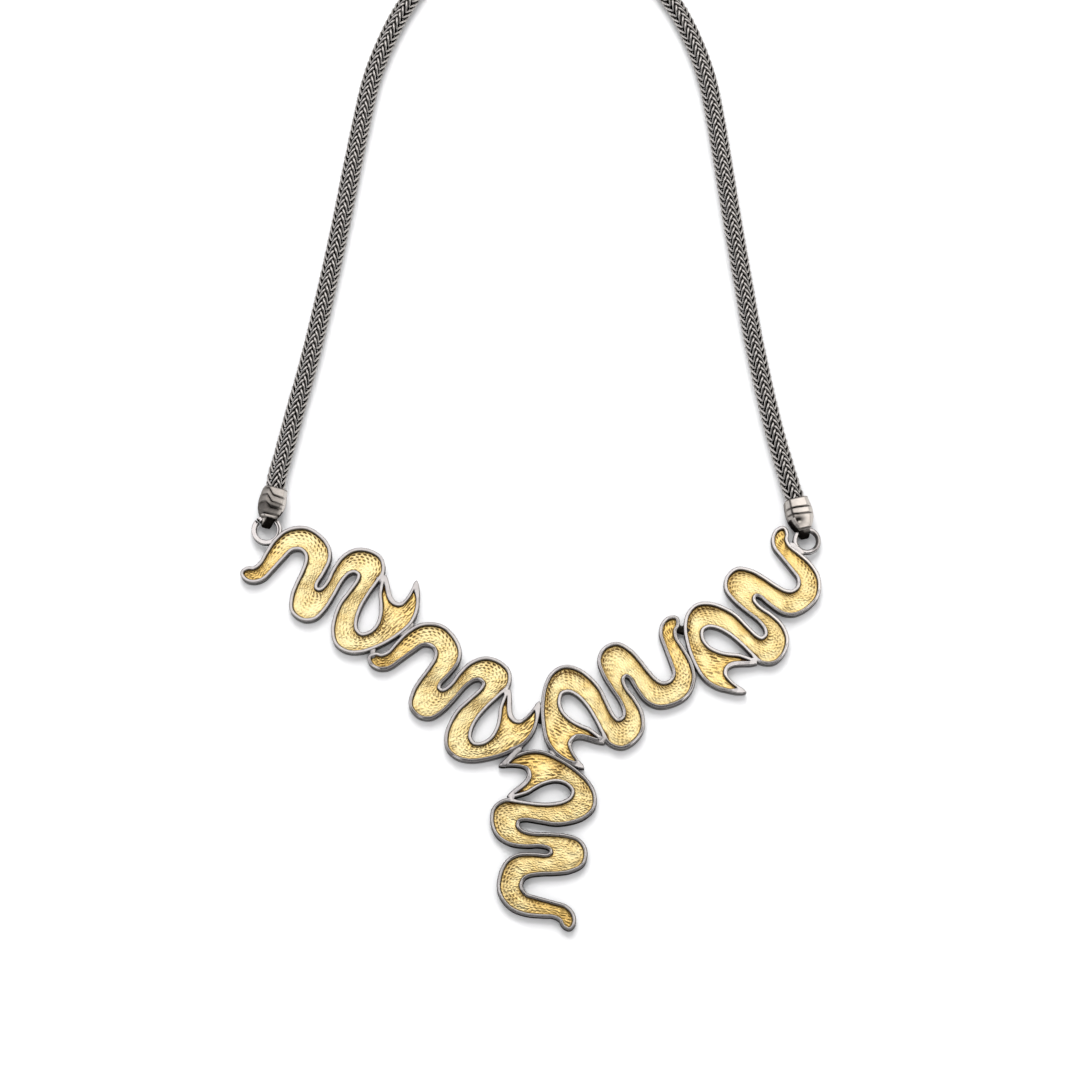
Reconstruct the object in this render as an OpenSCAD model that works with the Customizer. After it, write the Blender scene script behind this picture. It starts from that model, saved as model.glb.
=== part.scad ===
// Necklace of five silver snakes with gilded backs on a woven silver chain.
// It lies flat on its back: +Z faces the viewer, +Y runs from the lowest snake
// towards the back of the neck, and the origin is under the middle of the outline.

/* [Snakes] */
// Height of the silver walls round each snake
wall_h = 2.7; // [2.3:0.1:3.2]
// Width of the silver walls, seen from above
wall_w = 0.75; // [0.6:0.05:0.9]
// Thickness of the silver back plate
back_t = 0.9; // [0.6:0.1:1.1]
// Thickness of the gilded skin that lies on the back plate
skin_t = 0.9; // [0.5:0.1:1.1]
// Gap between the gilded skin and the walls
skin_gap = 0.06; // [0.05:0.01:0.1]

/* [Side rings] */
// Thickness of the side rings, from below to above
ring_t = 1.5; // [1.2:0.1:1.5]
// Height of the middle of the side rings over the ground
ring_z = 1.85; // [1.85:0.05:1.95]
// Width of the flat band of a side ring
ring_band = 1.1; // [0.9:0.1:1.2]
// Width of the cut in the left ring
ring_cut = 0.3; // [0.2:0.1:0.6]

/* [End caps] */
// Depth of the pocket that takes the end of the chain
pocket_depth = 3.4; // [2.5:0.1:3.6]
// Gap between the chain and the pocket
pocket_gap = 0.1; // [0.06:0.02:0.14]
// Width of the grooves across the front of a cap
groove_w = 0.3; // [0.2:0.05:0.5]
// Depth of the grooves
groove_d = 0.25; // [0.15:0.05:0.3]

/* [Chain] */
// Width of the woven chain
chain_w = 4.1; // [3.9:0.05:4.15]
// Rounding of the corners of its square section
chain_corner = 1.2; // [0.6:0.1:1.5]

/* [Clasp] */
// Outer length of the plain oval clasp
clasp_l = 13; // [12.6:0.2:15]
// Outer width of the clasp
clasp_w = 6.4; // [6:0.2:7]

/* [Hidden] */

SILVER = [0.74, 0.73, 0.74];
GILT = [0.93, 0.78, 0.42];
OXIDISED = [0.33, 0.32, 0.31];

// Middle of the whole outline, in the frame that the tables below are measured in
centre = [-2, 29.6];

// How much a cutter runs past the metal that it cuts
over = 1;

// Steps of a smooth line between two of its points
steps = 3;

// Where the five castings lie: x, y, turn in degrees, size beside the pattern
PLACES = [
    [-45.8, -11.0, -14.4, 1.0],
    [-18.8, -33.8, -26.5, 1.0],
    [0.6, -66.8, 101.8, 1.0],
    [17.5, -33.7, -133.2, 1.015],
    [46.9, -16.0, -115.2, 0.985]
];

// The gilded floor of one snake, a row for each section across it from tail to head:
// left edge x and y, right edge x and y
SECTIONS = [
    [-18.5, -0.9, -18.2, -2.7],
    [-17.2, -0.5, -16.6, -2.7],
    [-16.0, 0.9, -15.0, -1.7],
    [-15.3, 3.4, -13.6, 0.8],
    [-14.2, 6.8, -12.0, 3.9],
    [-12.2, 9.6, -10.6, 6.2],
    [-8.7, 11.0, -8.6, 6.9],
    [-5.4, 10.1, -6.9, 6.0],
    [-3.0, 8.2, -6.3, 4.4],
    [-2.2, 5.8, -6.5, 1.5],
    [-2.8, 2.3, -7.0, -1.4],
    [-3.5, -0.2, -7.2, -4.2],
    [-3.2, -1.3, -6.4, -7.1],
    [-2.3, -1.6, -3.9, -8.2],
    [-1.4, -1.1, -1.7, -7.4],
    [-0.5, 0.8, -0.2, -4.9],
    [0.0, 3.6, 0.8, -1.6],
    [1.1, 6.7, 1.7, 2.0],
    [3.2, 8.9, 2.9, 4.2],
    [6.0, 9.5, 4.3, 4.9],
    [8.8, 8.6, 5.6, 4.3],
    [9.9, 6.2, 5.7, 2.8],
    [9.2, 3.8, 4.6, -0.3],
    [8.0, 0.5, 3.4, -3.5],
    [7.1, -3.0, 3.1, -6.6],
    [7.0, -6.0, 3.5, -9.5],
    [7.7, -8.0, 4.9, -11.8],
    [9.3, -8.9, 7.4, -12.6],
    [11.3, -7.9, 10.2, -11.9],
    [12.5, -5.8, 13.1, -10.0],
    [12.6, -3.0, 15.6, -7.7],
    [12.0, -0.6, 18.2, -4.4]
];

// Tip of the gilded floor in the tail
TAIL_TIP = [-19.2, -1.8];
// Gilded floor of the inner jaw, from the last section to its tip
INNER_JAW = [[11.4, 1.0], [11.2, 2.5], [11.1, 3.9]];
// Gilded floor along the mouth, from the inner jaw to the outer jaw
MOUTH = [[11.6, 2.9], [12.1, 1.8], [12.8, 0.6], [13.8, -0.3], [15.1, -0.6], [16.3, -0.2], [17.0, 0.9], [17.5, 2.1]];
// Gilded floor of the outer jaw, from its tip to the last section
OUTER_JAW = [[17.9, 3.8], [18.7, 2.4], [19.1, 0.8], [19.2, -1.0], [18.9, -2.8]];
// Silver round the mouth, from the neck against the third bend to the tip of the outer jaw
LIPS = [[11.1, 5.6], [11.8, 4.7], [12.5, 3.4], [13.1, 2.2], [14.0, 0.9], [15.1, 0.3], [16.2, 0.8],
    [16.9, 2.3], [17.3, 4.0], [17.5, 5.4], [17.9, 6.0], [18.5, 5.4], [19.1, 4.1]];
// Corner between the third bend and the inner jaw, where the two are soldered together
NECK = [10.7, 5.3];
// Row of SECTIONS at which the wall of the third bend meets the inner jaw
neck_row = 21;
// Upper end of the teardrop window beside the neck
WINDOW_TIP = [10.25, 4.2];

// Middle of each side ring and its outer radius: x, y, radius
LEFT_RING = [-60, 1.7, 3.35];
RIGHT_RING = [58.5, -0.7, 3.1];
// Direction of the cut in the left ring, in degrees from +X
ring_cut_turn = 135;

// Solder between the castings, each a rounded bar: from x and y, to x and y, width, height of its top
SOLDER = [
    [-36.35, -24.95, -36.4, -26.3, 1.3, 2.6],
    [-30.1, -21.4, -28.2, -19.6, 1.5, 2.6],
    [-35.2, -9.3, -34.0, -10.0, 1.3, 2.65],
    [0.1, -39.2, 0.1, -40.3, 1.5, 1.7],
    [0.4, -37.4, 0.5, -37.9, 1.0, 2.5],
    [-7.7, -50.1, -4.5, -46.9, 1.4, 2.6],
    [-6.2, -47.0, -4.2, -46.2, 1.1, 2.55],
    [2.4, -47.5, 3.1, -48.2, 1.0, 2.5],
    [3.4, -48.0, 7.8, -51.0, 0.9, 1.9],
    [30.4, -20.3, 31.8, -20.6, 1.7, 1.9],
    [32.8, -26.4, 33.7, -29.1, 0.9, 1.9],
    [55.3, -1.9, 57.2, -3.3, 1.3, 2.55]
];

// Sections of an end cap, from its eye to its mouth:
// place along the cap, half width, bottom, top, bevel of the corners
CAP_SECTIONS = [
    [-1.85, 0.7, 1.2, 1.9, 0.2],
    [-1.75, 0.85, 0.7, 2.4, 0.3],
    [-1.45, 1.0, 0.3, 2.9, 0.35],
    [-0.9, 1.15, 0.1, 3.3, 0.4],
    [-0.1, 1.35, 0.1, 3.5, 0.45],
    [0.2, 1.7, 0.1, 4.5, 0.5],
    [1.2, 2.3, 0.1, 4.65, 0.7],
    [2.2, 2.7, 0.1, 4.75, 0.9],
    [3.1, 2.85, 0.1, 4.8, 1.0],
    [4.0, 2.9, 0.1, 4.8, 1.0],
    [5.4, 2.75, 0.1, 4.8, 0.95],
    [7.0, 2.5, 0.1, 4.8, 0.8]
];
cap_l = CAP_SECTIONS[11][0];
// Places along a cap of the two grooves across its front
GROOVES = [5, 3.6];
// Place of one more groove near the eye of the left cap
LEFT_GROOVE = [0.9];
// The slot through the eye: its ends along the cap, its bottom and its top
EYE = [-1.1, 1.2, 0.4, 2.85];
// Height of the middle of the chain inside a cap
cap_z = 2.45;

// Each cap: x and y of its eye, turn in degrees from +Y, roll about its own axis, lift off the ground
LEFT_CAP = [-59.6, 4, -11.5, 14, 0.3];
RIGHT_CAP = [57.8, 1.7, 14, 4, 0.1];
// Height along Y of the straight row of back caps and clasp
back_y = 142;
// Distance from the middle to the eye of each back cap
back_x = (clasp_l - ring_band) / 2;
LEFT_BACK_CAP = [-back_x, back_y, 90, 0, 0];
RIGHT_BACK_CAP = [back_x, back_y, -90, 0, 0];

// Routes of the chains between the caps: x, y, z of the middle of the chain
LEFT_ROUTE = [[-57.9, 13.6, 2.7], [-56.8, 18, 2.4], [-55.6, 23, 2.3], [-53.5, 31.5, 2.2], [-51.6, 39, 2.2],
    [-49.8, 47, 2.1], [-47.9, 56, 2.1], [-46.2, 64.5, 2.1], [-44.6, 73, 2.1], [-43.1, 81.5, 2.1],
    [-41.6, 90, 2.1], [-40.1, 98, 2.1], [-38.3, 106.5, 2.1], [-35.6, 114.5, 2.1], [-32.2, 122, 2.1],
    [-28, 129, 2.1], [-24.4, 134.2, 2.1], [-20.2, 138.8, 2.2], [-15.6, 141.6, 2.3]];
RIGHT_ROUTE = [[55.2, 11.4, 2.5], [53.7, 17, 2.2], [52.1, 23, 2.2], [50.2, 31.5, 2.1], [48.7, 39, 2.1],
    [47.2, 47, 2.1], [45.8, 56, 2.1], [44.5, 64.5, 2.1], [43.2, 73, 2.1], [42, 81.5, 2.1],
    [40.8, 90, 2.1], [39.6, 98, 2.1], [38, 106.5, 2.1], [35.5, 114.5, 2.1], [32.2, 122, 2.1],
    [28, 129, 2.1], [24.4, 134.2, 2.1], [20.2, 138.8, 2.2], [15.6, 141.6, 2.3]];

// One point of a smooth line through b and c, with a before and d after them,
// where u runs from 0 at b to 1 at c
function knot(a, b) = sqrt(norm(b - a));
function blend(p, q, t0, t1, t) = (p * (t1 - t) + q * (t - t0)) / (t1 - t0);
function smooth_point(a, b, c, d, u) =
    let (t1 = knot(a, b), t2 = t1 + knot(b, c), t3 = t2 + knot(c, d), t = t1 + (t2 - t1) * u,
        ab = blend(a, b, 0, t1, t), bc = blend(b, c, t1, t2, t), cd = blend(c, d, t2, t3, t))
    blend(blend(ab, bc, 0, t2, t), blend(bc, cd, t1, t3, t), t1, t2, t);

// Smooth open line through points, with n steps between two of them
function smooth(points, n) =
    let (last = len(points) - 1,
        ends = concat([2 * points[0] - points[1]], points, [2 * points[last] - points[last - 1]]))
    concat([for (i = [0:last - 1]) for (k = [0:n - 1])
        smooth_point(ends[i], ends[i + 1], ends[i + 2], ends[i + 3], k / n)], [points[last]]);

// A line moved to its left by d
function direction(path, i) =
    let (t = path[min(i + 1, len(path) - 1)] - path[max(i - 1, 0)]) t / norm(t);
function moved(path, d) =
    [for (i = [0:len(path) - 1]) let (t = direction(path, i)) path[i] + d * [-t[1], t[0]]];
// A closed outline drawn in by d
function drawn_in(outline, d) =
    let (n = len(outline))
    [for (i = [0:n - 1])
        let (t = outline[(i + 1) % n] - outline[(i + n - 1) % n]) outline[i] - d * [-t[1], t[0]] / norm(t)];
function part_of(list, first, last) = [for (i = [first:last]) list[i]];
function reversed(list) = [for (i = [len(list) - 1:-1:0]) list[i]];
function left_edges() = [for (s = SECTIONS) [s[0], s[1]]];
function right_edges() = [for (s = SECTIONS) [s[2], s[3]]];

// The edge of the gilded floor outside the mouth: outer jaw, right edge, tail, left edge, inner jaw
function flank() = smooth(concat(OUTER_JAW, reversed(right_edges()), [TAIL_TIP], left_edges(), INNER_JAW), steps);
// The edge of the gilded floor in the mouth, between the tips of the jaws
function mouth() = smooth(concat([INNER_JAW[len(INNER_JAW) - 1]], MOUTH, [OUTER_JAW[0]]), steps);
function floor_outline() = let (m = mouth()) concat(flank(), part_of(m, 1, len(m) - 2));

// Steps of the flank up to the row where the third bend meets the inner jaw
neck_step = steps * (len(OUTER_JAW) + len(SECTIONS) + 1 + neck_row);
// Steps of the flank that the outer jaw's silver replaces
jaw_step = 2 * steps;
function silver_flank() = moved(flank(), wall_w);
function silver_outline() =
    concat(part_of(silver_flank(), jaw_step, neck_step), [NECK], smooth(LIPS, steps));
function window_outline() =
    let (s = silver_flank()) concat([WINDOW_TIP], part_of(s, neck_step + steps, len(s) - 1));

// Puts the shape of one snake where casting number i lies
module at_place(i) {
    p = PLACES[i];
    translate([p[0], p[1], 0]) rotate(p[2]) scale(p[3]) children();
}

// Moves everything so that the origin is under the middle of the outline
module centred() {
    translate([-centre[0], -centre[1], 0]) children();
}

module silver_shape() {
    difference() {
        polygon(silver_outline());
        polygon(window_outline());
    }
}

// One casting before its floor is sunk between the walls
module blank(i) {
    linear_extrude(wall_h) at_place(i) silver_shape();
}

// The room over the floor of one casting
module sunk_floor(i) {
    translate([0, 0, back_t]) linear_extrude(wall_h) at_place(i) polygon(floor_outline());
}

module side_ring(ring) {
    translate([ring[0], ring[1], ring_z - ring_t / 2]) difference() {
        cylinder(h = ring_t, r = ring[2], $fn = 64);
        translate([0, 0, -over]) cylinder(h = ring_t + 2 * over, r = ring[2] - ring_band, $fn = 64);
    }
}

module cut_side_ring(ring) {
    difference() {
        side_ring(ring);
        translate([ring[0], ring[1], 0]) rotate(ring_cut_turn)
            translate([0, -ring_cut / 2, 0]) cube([ring[2] + over, ring_cut, wall_h + over]);
    }
}

// A bar of solder with round ends
module solder_bar(row) {
    along = [row[2] - row[0], row[3] - row[1]];
    translate([row[0], row[1], 0]) rotate(atan2(along[1], along[0])) {
        translate([0, -row[4] / 2, 0]) cube([norm(along), row[4], row[5]]);
        cylinder(h = row[5], d = row[4], $fn = 24);
        translate([norm(along), 0, 0]) cylinder(h = row[5], d = row[4], $fn = 24);
    }
}

module snake_frame() {
    color(SILVER) centred() difference() {
        union() {
            for (i = [0:len(PLACES) - 1]) blank(i);
            for (row = SOLDER) solder_bar(row);
            cut_side_ring(LEFT_RING);
            side_ring(RIGHT_RING);
        }
        for (i = [0:len(PLACES) - 1]) sunk_floor(i);
    }
}

// The gilded skin of casting number i, which lies on the back plate between the walls
module skin(i) {
    color(GILT) centred() translate([0, 0, back_t]) linear_extrude(skin_t) at_place(i)
        polygon(drawn_in(floor_outline(), skin_gap));
}

// Section of an end cap: a box with bevelled corners at y, seen along the cap
function cap_ring(row) =
    let (y = row[0], w = row[1], lo = row[2], hi = row[3], b = row[4])
    [[w, y, lo + b], [w, y, hi - b], [w - b, y, hi], [b - w, y, hi],
        [-w, y, hi - b], [-w, y, lo + b], [b - w, y, lo], [w - b, y, lo]];

// A solid through rings of points that all have the same number of points
module loft(rings) {
    n = len(rings[0]);
    m = len(rings);
    points = [for (ring = rings) for (p = ring) p];
    sides = [for (i = [0:m - 2]) for (k = [0:n - 1])
        let (a = i * n + k, b = i * n + (k + 1) % n) [a, b, b + n, a + n]];
    polyhedron(points, concat(sides, [[for (k = [n - 1:-1:0]) k], [for (k = [0:n - 1]) (m - 1) * n + k]]));
}

// Height of the bottom of a groove across a cap at y
function groove_floor(y) = lookup(y, [for (row = CAP_SECTIONS) [row[0], row[3]]]) - groove_d;

// Section of the chain: a square with bevelled corners, in its own plane
function chain_section(size) =
    let (h = size / 2, c = h - chain_corner * (2 - sqrt(2)))
    [[h, -c], [h, c], [c, h], [-c, h], [-h, c], [-h, -c], [-c, -h], [c, -h]];

module cap_body(grooves) {
    difference() {
        loft([for (row = CAP_SECTIONS) cap_ring(row)]);
        translate([0, cap_l - pocket_depth, cap_z]) rotate([-90, 0, 0])
            linear_extrude(pocket_depth + over) polygon(chain_section(chain_w + 2 * pocket_gap));
        translate([-cap_l, EYE[0], EYE[2]]) cube([2 * cap_l, EYE[1] - EYE[0], EYE[3] - EYE[2]]);
        for (y = grooves) translate([-cap_l, y - groove_w / 2, groove_floor(y)]) cube([2 * cap_l, groove_w, wall_h]);
    }
}

module cap(place, grooves = GROOVES) {
    color(SILVER) centred() translate([place[0], place[1], place[4] + cap_z]) rotate(place[2])
        rotate([0, place[3], 0]) translate([0, 0, -cap_z]) cap_body(grooves);
}

// Points of its route over which the chain loses the roll of the cap in front
roll_points = 7;

// The chain as one swept solid along its route, which starts with the roll of the first cap
function roll_at(roll, i) = i < 2 ? roll : roll * max(0, 1 - (i - 1) / roll_points);
function chain_ring(route, i, roll) =
    let (t = direction(route, i), side = [t[1], -t[0], 0] / norm([t[0], t[1]]), up = cross(side, t),
        r = roll_at(roll, i))
    [for (p = chain_section(chain_w))
        route[i] + (p[0] * cos(r) + p[1] * sin(r)) * side + (p[1] * cos(r) - p[0] * sin(r)) * up];
function cap_point(place, along) =
    [place[0] - along * sin(place[2]), place[1] + along * cos(place[2]), cap_z + place[4]];
function chain_route(first, route, last) =
    concat([cap_point(first, cap_l - pocket_depth + pocket_gap), cap_point(first, cap_l)], route,
        [cap_point(last, cap_l), cap_point(last, cap_l - pocket_depth + pocket_gap)]);
module chain(first, route, last) {
    path = chain_route(first, route, last);
    color(OXIDISED) centred() loft([for (i = [0:len(path) - 1]) chain_ring(path, i, first[3])]);
}

// An oval band that joins the eyes of the two back caps
module oval(l, w, h) {
    for (s = [-1, 1]) translate([s * (l - w) / 2, 0, 0]) cylinder(h = h, d = w, $fn = 48);
    translate([-(l - w) / 2, -w / 2, 0]) cube([l - w, w, h]);
}
module clasp() {
    color(SILVER) centred() translate([0, back_y, ring_z - ring_t / 2]) difference() {
        oval(clasp_l, clasp_w, ring_t);
        translate([0, 0, -over]) oval(clasp_l - 2 * ring_band, clasp_w - 2 * ring_band, ring_t + 2 * over);
    }
}

snake_frame();
skin(0);  // skin_outer_left
skin(1);  // skin_inner_left
skin(2);  // skin_centre
skin(3);  // skin_inner_right
skin(4);  // skin_outer_right
cap(LEFT_CAP, concat(GROOVES, LEFT_GROOVE));  // end_cap_left
cap(RIGHT_CAP);  // end_cap_right
chain(LEFT_CAP, LEFT_ROUTE, LEFT_BACK_CAP);  // chain_left
chain(RIGHT_CAP, RIGHT_ROUTE, RIGHT_BACK_CAP);  // chain_right
cap(LEFT_BACK_CAP);  // back_cap_left
cap(RIGHT_BACK_CAP);  // back_cap_right
clasp();
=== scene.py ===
import math
from collections import namedtuple

import bpy
import numpy as np
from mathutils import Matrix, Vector, geometry


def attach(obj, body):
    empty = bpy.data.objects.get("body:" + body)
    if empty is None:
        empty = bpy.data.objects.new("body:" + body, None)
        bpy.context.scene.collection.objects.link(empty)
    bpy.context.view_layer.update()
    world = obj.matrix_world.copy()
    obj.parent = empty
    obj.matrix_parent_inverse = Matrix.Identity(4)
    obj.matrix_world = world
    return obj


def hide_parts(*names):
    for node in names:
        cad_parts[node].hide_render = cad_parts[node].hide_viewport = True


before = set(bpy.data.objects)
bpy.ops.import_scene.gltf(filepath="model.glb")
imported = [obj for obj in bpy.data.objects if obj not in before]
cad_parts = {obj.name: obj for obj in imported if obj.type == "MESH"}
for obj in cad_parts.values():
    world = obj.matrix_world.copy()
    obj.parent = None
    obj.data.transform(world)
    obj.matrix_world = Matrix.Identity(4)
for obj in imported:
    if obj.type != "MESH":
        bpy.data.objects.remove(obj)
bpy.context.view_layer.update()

MM = 0.001

# Measures of the metal, the same as in the part's source, in millimetres
WALL_H = 2.7
WALL_W = 0.75
BACK_T = 0.9
SKIN_T = 0.9
RING_T = 1.5
RING_Z = 1.85
RING_BAND = 1.1
RING_TOP = RING_Z + RING_T / 2
RING_CUT = 0.3
RING_CUT_TURN = 135
CHAIN_W = 4.1
CLASP_L = 13
CLASP_W = 6.4
CENTRE = np.array([-2.0, 29.6])

# Smooth steps between two points of an outline
STEPS = 6

# Where the five castings lie: x, y, turn in degrees, size beside the pattern
PLACES = [
    (-45.8, -11.0, -14.4, 1.0),
    (-18.8, -33.8, -26.5, 1.0),
    (0.6, -66.8, 101.8, 1.0),
    (17.5, -33.7, -133.2, 1.015),
    (46.9, -16.0, -115.2, 0.985),
]
SKIN_NODES = ["skin_outer_left", "skin_inner_left", "skin_centre", "skin_inner_right", "skin_outer_right"]

# Sections across the gilded floor of one snake from tail to head: left edge x and y, right edge x and y
SECTIONS = np.array([
    (-18.5, -0.9, -18.2, -2.7),
    (-17.2, -0.5, -16.6, -2.7),
    (-16.0, 0.9, -15.0, -1.7),
    (-15.3, 3.4, -13.6, 0.8),
    (-14.2, 6.8, -12.0, 3.9),
    (-12.2, 9.6, -10.6, 6.2),
    (-8.7, 11.0, -8.6, 6.9),
    (-5.4, 10.1, -6.9, 6.0),
    (-3.0, 8.2, -6.3, 4.4),
    (-2.2, 5.8, -6.5, 1.5),
    (-2.8, 2.3, -7.0, -1.4),
    (-3.5, -0.2, -7.2, -4.2),
    (-3.2, -1.3, -6.4, -7.1),
    (-2.3, -1.6, -3.9, -8.2),
    (-1.4, -1.1, -1.7, -7.4),
    (-0.5, 0.8, -0.2, -4.9),
    (0.0, 3.6, 0.8, -1.6),
    (1.1, 6.7, 1.7, 2.0),
    (3.2, 8.9, 2.9, 4.2),
    (6.0, 9.5, 4.3, 4.9),
    (8.8, 8.6, 5.6, 4.3),
    (9.9, 6.2, 5.7, 2.8),
    (9.2, 3.8, 4.6, -0.3),
    (8.0, 0.5, 3.4, -3.5),
    (7.1, -3.0, 3.1, -6.6),
    (7.0, -6.0, 3.5, -9.5),
    (7.7, -8.0, 4.9, -11.8),
    (9.3, -8.9, 7.4, -12.6),
    (11.3, -7.9, 10.2, -11.9),
    (12.5, -5.8, 13.1, -10.0),
    (12.6, -3.0, 15.6, -7.7),
    (12.0, -0.6, 18.2, -4.4),
])
TAIL_TIP = (-19.2, -1.8)
INNER_JAW = [(11.4, 1.0), (11.2, 2.5), (11.1, 3.9)]
MOUTH = [(11.6, 2.9), (12.1, 1.8), (12.8, 0.6), (13.8, -0.3), (15.1, -0.6), (16.3, -0.2), (17.0, 0.9),
         (17.5, 2.1)]
OUTER_JAW = [(17.9, 3.8), (18.7, 2.4), (19.1, 0.8), (19.2, -1.0), (18.9, -2.8)]
LIPS = [(11.1, 5.6), (11.8, 4.7), (12.5, 3.4), (13.1, 2.2), (14.0, 0.9), (15.1, 0.3), (16.2, 0.8),
        (16.9, 2.3), (17.3, 4.0), (17.5, 5.4), (17.9, 6.0), (18.5, 5.4), (19.1, 4.1)]
# Where the silver of the third bend meets that of the inner jaw, and the section that lies there
NECK = (10.7, 5.3)
NECK_ROW = 21
WINDOW_TIP = (10.25, 4.2)
# Points of the outer jaw whose silver the lips replace
JAW_ROWS = 2

# Side rings: x and y of the middle, outer radius
LEFT_RING = (-60.0, 1.7, 3.35)
RIGHT_RING = (58.5, -0.7, 3.1)

# Solder between the castings: from x and y, to x and y, width, height of its top
SOLDER = [
    (-36.35, -24.95, -36.4, -26.3, 1.3, 2.6),
    (-30.1, -21.4, -28.2, -19.6, 1.5, 2.6),
    (-35.2, -9.3, -34.0, -10.0, 1.3, 2.65),
    (0.1, -39.2, 0.1, -40.3, 1.5, 1.7),
    (0.4, -37.4, 0.5, -37.9, 1.0, 2.5),
    (-7.7, -50.1, -4.5, -46.9, 1.4, 2.6),
    (-6.2, -47.0, -4.2, -46.2, 1.1, 2.55),
    (2.4, -47.5, 3.1, -48.2, 1.0, 2.5),
    (3.4, -48.0, 7.8, -51.0, 0.9, 1.9),
    (30.4, -20.3, 31.8, -20.6, 1.7, 1.9),
    (32.8, -26.4, 33.7, -29.1, 0.9, 1.9),
    (55.3, -1.7, 57.3, -3.35, 1.4, 2.66),
]

# Sections of an end cap: place along it, half width, bottom, top, bevel of the corners
CAP_SECTIONS = np.array([
    (-1.85, 0.7, 1.2, 1.9, 0.2),
    (-1.75, 0.85, 0.7, 2.4, 0.3),
    (-1.45, 1.0, 0.3, 2.9, 0.35),
    (-0.9, 1.15, 0.1, 3.3, 0.4),
    (-0.1, 1.35, 0.1, 3.5, 0.45),
    (0.2, 1.7, 0.1, 4.5, 0.5),
    (1.2, 2.3, 0.1, 4.65, 0.7),
    (2.2, 2.7, 0.1, 4.75, 0.9),
    (3.1, 2.85, 0.1, 4.8, 1.0),
    (4.0, 2.9, 0.1, 4.8, 1.0),
    (5.4, 2.75, 0.1, 4.8, 0.95),
    (7.0, 2.5, 0.1, 4.8, 0.8),
])
CAP_L = 7.0
CAP_Z = 2.45
POCKET_DEPTH = 3.4
POCKET_GAP = 0.1
GROOVE_W = 0.3
GROOVE_D = 0.25

# Each cap: x and y of its eye, turn in degrees from +Y, roll about its own axis, lift off the ground
BACK_X = 5.95
BACK_Y = 142.0
LEFT_CAP = (-59.6, 4.0, -11.5, 14.0, 0.3)
RIGHT_CAP = (57.8, 1.7, 14.0, 4.0, 0.1)
LEFT_BACK_CAP = (-BACK_X, BACK_Y, 90.0, 0.0, 0.0)
RIGHT_BACK_CAP = (BACK_X, BACK_Y, -90.0, 0.0, 0.0)

# Routes of the chains between the caps: x, y, z of the middle of the chain
LEFT_ROUTE = [(-57.9, 13.6, 2.7), (-56.8, 18, 2.4), (-55.6, 23, 2.3), (-53.5, 31.5, 2.2), (-51.6, 39, 2.2),
              (-49.8, 47, 2.1), (-47.9, 56, 2.1), (-46.2, 64.5, 2.1), (-44.6, 73, 2.1), (-43.1, 81.5, 2.1),
              (-41.6, 90, 2.1), (-40.1, 98, 2.1), (-38.3, 106.5, 2.1), (-35.6, 114.5, 2.1),
              (-32.2, 122, 2.1), (-28, 129, 2.1), (-24.4, 134.2, 2.1), (-20.2, 138.8, 2.2),
              (-15.6, 141.6, 2.3)]
RIGHT_ROUTE = [(55.2, 11.4, 2.5), (53.7, 17, 2.2), (52.1, 23, 2.2), (50.2, 31.5, 2.1), (48.7, 39, 2.1),
               (47.2, 47, 2.1), (45.8, 56, 2.1), (44.5, 64.5, 2.1), (43.2, 73, 2.1), (42, 81.5, 2.1),
               (40.8, 90, 2.1), (39.6, 98, 2.1), (38, 106.5, 2.1), (35.5, 114.5, 2.1), (32.2, 122, 2.1),
               (28, 129, 2.1), (24.4, 134.2, 2.1), (20.2, 138.8, 2.2), (15.6, 141.6, 2.3)]
# Points of its route over which the chain loses the roll of the cap in front
ROLL_POINTS = 7
# Smooth steps between two points of a route
ROUTE_STEPS = 16


# Smooth lines, drawn as the part's source draws them
def smooth(points, n):
    """A smooth open line through points, with n steps between two of them."""
    p = np.asarray(points, float)
    ends = np.vstack([2 * p[0] - p[1], p, 2 * p[-1] - p[-2]])
    line = []
    for i in range(len(p) - 1):
        a, b, c, d = ends[i:i + 4]
        t1 = math.sqrt(np.linalg.norm(b - a))
        t2 = t1 + math.sqrt(np.linalg.norm(c - b))
        t3 = t2 + math.sqrt(np.linalg.norm(d - c))
        for k in range(n):
            t = t1 + (t2 - t1) * k / n
            ab = (a * (t1 - t) + b * t) / t1
            bc = (b * (t2 - t) + c * (t - t1)) / (t2 - t1)
            cd = (c * (t3 - t) + d * (t - t2)) / (t3 - t2)
            abc = (ab * (t2 - t) + bc * t) / t2
            bcd = (bc * (t3 - t) + cd * (t - t1)) / (t3 - t1)
            line.append((abc * (t2 - t) + bcd * (t - t1)) / (t2 - t1))
    line.append(p[-1])
    return np.array(line)


def unit(vectors):
    return vectors / np.linalg.norm(vectors, axis=1)[:, None]


def to_left(path, ahead, d):
    """A flat path moved to its left by d, where ahead points along it."""
    t = unit(ahead)
    return path + d * np.column_stack([-t[:, 1], t[:, 0]])


def moved(path, d):
    """An open path moved to its left by d."""
    ahead = np.vstack([path[1] - path[0], path[2:] - path[:-2], path[-1] - path[-2]])
    return to_left(path, ahead, d)


def widened(loop, d):
    """A closed outline moved to its left by d."""
    return to_left(loop, np.roll(loop, -1, 0) - np.roll(loop, 1, 0), d)


def along(points):
    """How far along a line each of its points lies."""
    return np.concatenate([[0], np.cumsum(np.linalg.norm(np.diff(points, axis=0), axis=1))])


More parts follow.
